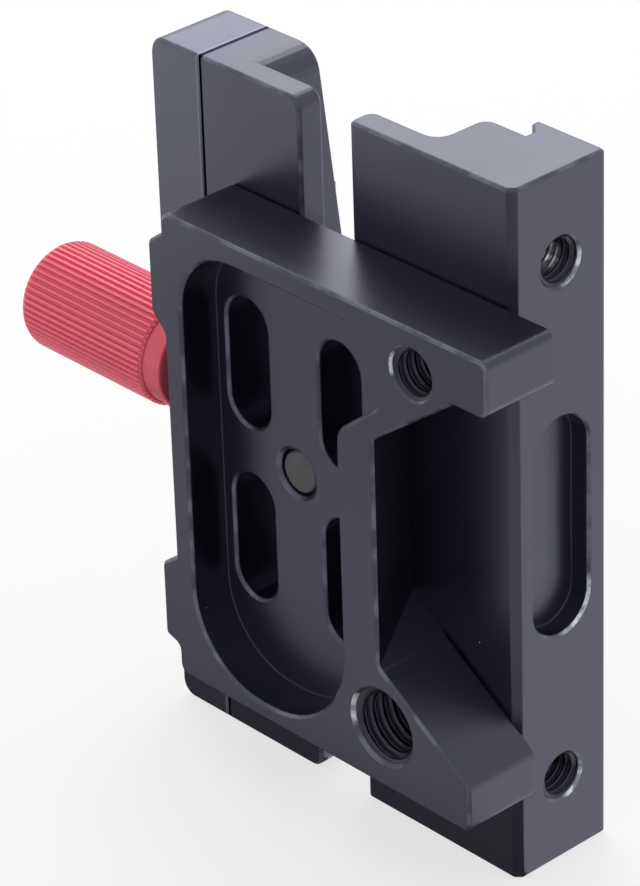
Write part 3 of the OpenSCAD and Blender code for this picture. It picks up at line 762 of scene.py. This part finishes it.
class QR_OT_return_springs(bpy.types.Operator):
    """Winds the two return springs as fixed coils; on the real clamp they stretch as the jaw opens"""
    bl_idname = "quick_release.return_springs"
    bl_label = "Return springs"

    def execute(self, context):
        spring = settings().spring
        material = turned_metal("drawn_spring_wire", (0.45, 0.45, 0.46), 0.3, axis=0)
        for end, (low, high) in SPRING_BOXES.items():
            axis_y, axis_z = (low.y + high.y) / 2, (low.z + high.z) / 2
            coil = (high.z - low.z - spring.wire) / 2
            first, last = low.x + spring.wire / 2, high.x - spring.wire / 2
            dead = 0.75
            count = round((spring.turns + 2 * dead) * spring.turn_steps)
            path = []
            for i in range(count + 1):
                turn = i / spring.turn_steps
                share = min(1.0, max(0.0, (turn - dead) / spring.turns))
                angle = FULL_TURN * turn
                path.append(Vector((first + (last - first) * share, axis_y + coil * math.cos(angle),
                                    axis_z + coil * math.sin(angle))))
            piece = swept("spring_coil_" + end, path, spring.wire / 2, spring.wire_sides)
            piece.data.materials.append(material)
            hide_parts("return_spring_" + end)
            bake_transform(piece)
        return {"FINISHED"}


class QR_OT_clamp_screw(bpy.types.Operator):
    """Turns the clamp screw with its thread and the clip's groove"""
    bl_idname = "quick_release.clamp_screw"
    bl_label = "Clamp screw"

    def execute(self, context):
        thread = settings().thread
        low, high = SCREW_BOX
        sides = thread.sides
        major = (high.z - low.z) / 2
        axis_y, axis_z = (low.y + high.y) / 2, (low.z + high.z) / 2
        depth = 0.6134 * thread.screw_pitch
        groove_depth = 0.5 * MM
        chamfer = 0.5 * MM
        thread_start = BUSH_BOX[0].x - 1.0 * MM
        sections = [(low.x, [major - chamfer] * sides), (low.x + chamfer, [major] * sides)]
        for x, radius in ((CLIP_BOX[0].x, major), (CLIP_BOX[0].x, major - groove_depth),
                          (CLIP_BOX[1].x, major - groove_depth), (CLIP_BOX[1].x, major)):
            sections.append((x, [radius] * sides))
        rows = round((high.x - chamfer - thread_start) / thread.screw_pitch * thread.steps)
        for row in range(rows + 1):
            along = row / rows * (high.x - chamfer - thread_start)
            fade = min(1.0, along / thread.screw_pitch)
            sections.append((thread_start + along, [
                major - depth * fade * (1 - crest(along / thread.screw_pitch - s / sides)) for s in range(sides)]))
        sections.append((high.x, [major - depth - 0.2 * MM] * sides))
        piece = turned_rod("threaded_clamp_screw", axis_y, axis_z, sections, sides)
        piece.data.materials.append(turned_metal("rolled_steel_screw", (0.5, 0.5, 0.5), 0.3, axis=0))
        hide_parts("clamp_screw")
        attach(piece, "knob")
        return {"FINISHED"}


class QR_OT_stage(bpy.types.Operator):
    """Sets the floor, the lights and the camera"""
    bl_idname = "quick_release.stage"
    bl_label = "Stage"

    def execute(self, context):
        stage = settings().stage
        half = stage.floor_half
        floor = mesh_piece("studio_floor", [(-half, -half, 0), (half, -half, 0), (half, half, 0), (-half, half, 0)],
                           [(0, 1, 2, 3)], smooth=False)
        floor.data.materials.append(floor_material())
        studio_world(stage.world)
        lamp = bpy.data.lights.new("back_softbox", "AREA")
        lamp.shape = "RECTANGLE"
        lamp.size, lamp.size_y = 1.0, 0.8
        lamp.energy = stage.key
        softbox = bpy.data.objects.new("back_softbox", lamp)
        level = stage.key_distance * math.cos(stage.key_elevation)
        softbox.location = (-level * math.sin(stage.key_azimuth), level * math.cos(stage.key_azimuth),
                            stage.key_distance * math.sin(stage.key_elevation))
        softbox.rotation_euler = (Vector((0, 0, 0.05)) - softbox.location).to_track_quat("-Z", "Y").to_euler()
        context.scene.collection.objects.link(softbox)
        set_camera(context.scene, stage)
        context.scene.view_settings.view_transform = "Standard"
        return {"FINISHED"}


def floor_material():
    """Pale matt floor that the camera sees as white and that keeps the shadow; the metal sees it as white with painted
    shade near the part.
    """
    material, tree, shader = blank("pale_floor")
    rays = tree.nodes.new("ShaderNodeLightPath")
    seen = rays.outputs["Is Camera Ray"]
    tree.links.new(mixed(tree, seen, (0.84, 0.84, 0.85), (1.0, 1.0, 1.0)), shader.inputs["Base Color"])
    white = tree.nodes.new("ShaderNodeEmission")
    split = tree.nodes.new("ShaderNodeSeparateXYZ")
    tree.links.new(tree.nodes.new("ShaderNodeTexCoord").outputs["Object"], split.inputs[0])
    stage = settings().stage
    # Painted shadow on the glow that the metal mirrors: dimmer in front of the part, past the side's X and under the
    # plate.
    near = ramp(tree, split.outputs[1], -stage.shade_reach, -0.2 * stage.shade_reach, 0.0, stage.shade)
    beside = ramp(tree, split.outputs[0], stage.side_x - 0.2 * stage.shade_reach, stage.side_x)
    far = ramp(tree, split.outputs[1], -0.75 * stage.shade_reach, -0.62 * stage.shade_reach, stage.far_shade, stage.side_shade)
    beside = maths(tree, "MULTIPLY", beside, far)
    under = ramp(tree, split.outputs[1], -1.8 * stage.under_reach, -stage.under_reach, 0.0, stage.under_shade)
    near = maths(tree, "ADD", maths(tree, "ADD", near, under), beside)
    behind = maths(tree, "GREATER_THAN", split.outputs[1], 0.0)
    dim = maths(tree, "MULTIPLY", maths(tree, "SUBTRACT", 1.0, maths(tree, "MAXIMUM", seen, behind)), near)
    tree.links.new(mixed(tree, dim, (1, 1, 1), (0, 0, 0)), white.inputs["Color"])
    white.inputs["Strength"].default_value = 1.0
    share = tree.nodes.new("ShaderNodeMixShader")
    put(tree, share.inputs[0], maths(tree, "MULTIPLY_ADD", seen, stage.floor_white,
                                     rays.outputs["Is Glossy Ray"], clamp=True))
    tree.links.new(shader.outputs["BSDF"], share.inputs[1])
    tree.links.new(white.outputs["Emission"], share.inputs[2])
    tree.links.new(share.outputs["Shader"], tree.nodes["Material Output"].inputs["Surface"])
    shader.inputs["Roughness"].default_value = 0.9
    shader.inputs["Specular IOR Level"].default_value = 0.0
    return material


def studio_world(strength):
    world = bpy.data.worlds.new("soft_studio")
    bpy.context.scene.world = world
    world.use_nodes = True
    background = world.node_tree.nodes["Background"]
    background.inputs["Color"].default_value = (1, 1, 1, 1)
    background.inputs["Strength"].default_value = strength


def set_camera(scene, stage):
    azimuth, elevation, roll = stage.azimuth, stage.elevation, stage.roll
    ahead = Vector((-math.sin(azimuth) * math.cos(elevation), math.cos(azimuth) * math.cos(elevation),
                    -math.sin(elevation)))
    level = Vector((math.cos(azimuth), math.sin(azimuth), 0))
    upright = level.cross(ahead)
    right = math.cos(roll) * level + math.sin(roll) * upright
    up = right.cross(ahead)
    camera = bpy.data.cameras.new("studio_camera")
    camera.sensor_fit = "AUTO"
    camera.sensor_width = 36.0
    camera.lens = stage.lens
    camera.clip_start = 0.01
    body = bpy.data.objects.new("studio_camera", camera)
    turn = Matrix((right, up, -ahead)).transposed().to_4x4()
    body.matrix_world = Matrix.Translation(Vector(stage.aim) - ahead * stage.distance) @ turn
    scene.collection.objects.link(body)
    scene.camera = body


class QR_PT_panel(bpy.types.Panel):
    """Lists the sizes, the finishes and the steps"""
    bl_label = "Quick release plate"
    bl_idname = "QR_PT_panel"
    bl_space_type = "VIEW_3D"
    bl_region_type = "UI"
    bl_category = "Quick release"

    def draw(self, context):
        layout = self.layout
        values = settings()
        for title, group in (("Threads", values.thread), ("Springs", values.spring), ("Knob", values.knob),
                             ("Finishes", values.finish), ("Stage", values.stage)):
            box = layout.box()
            box.label(text=title)
            for name in group.bl_rna.properties.keys():
                if name not in ("rna_type", "name"):
                    box.prop(group, name)
        for step in STEPS:
            layout.operator(step.bl_idname)


class QuickReleaseSettings(bpy.types.PropertyGroup):
    thread: PointerProperty(type=ThreadSettings)
    spring: PointerProperty(type=SpringSettings)
    knob: PointerProperty(type=KnobSettings)
    finish: PointerProperty(type=FinishSettings)
    stage: PointerProperty(type=StageSettings)


STEPS = (QR_OT_anodised_blocks, QR_OT_knob, QR_OT_hardware, QR_OT_bore_threads, QR_OT_return_springs,
         QR_OT_clamp_screw, QR_OT_stage)
CLASSES = (ThreadSettings, SpringSettings, KnobSettings, FinishSettings, StageSettings, QuickReleaseSettings, *STEPS, QR_PT_panel)


def register():
    for item in CLASSES:
        bpy.utils.register_class(item)
    bpy.types.Scene.quick_release = PointerProperty(type=QuickReleaseSettings)


def unregister():
    del bpy.types.Scene.quick_release
    for item in reversed(CLASSES):
        bpy.utils.unregister_class(item)


def main():
    register()
    bpy.ops.quick_release.anodised_blocks()
    bpy.ops.quick_release.knob()
    bpy.ops.quick_release.hardware()
    bpy.ops.quick_release.bore_threads()
    bpy.ops.quick_release.return_springs()
    bpy.ops.quick_release.clamp_screw()
    bpy.ops.quick_release.stage()


if __name__ == "__main__":
    main()
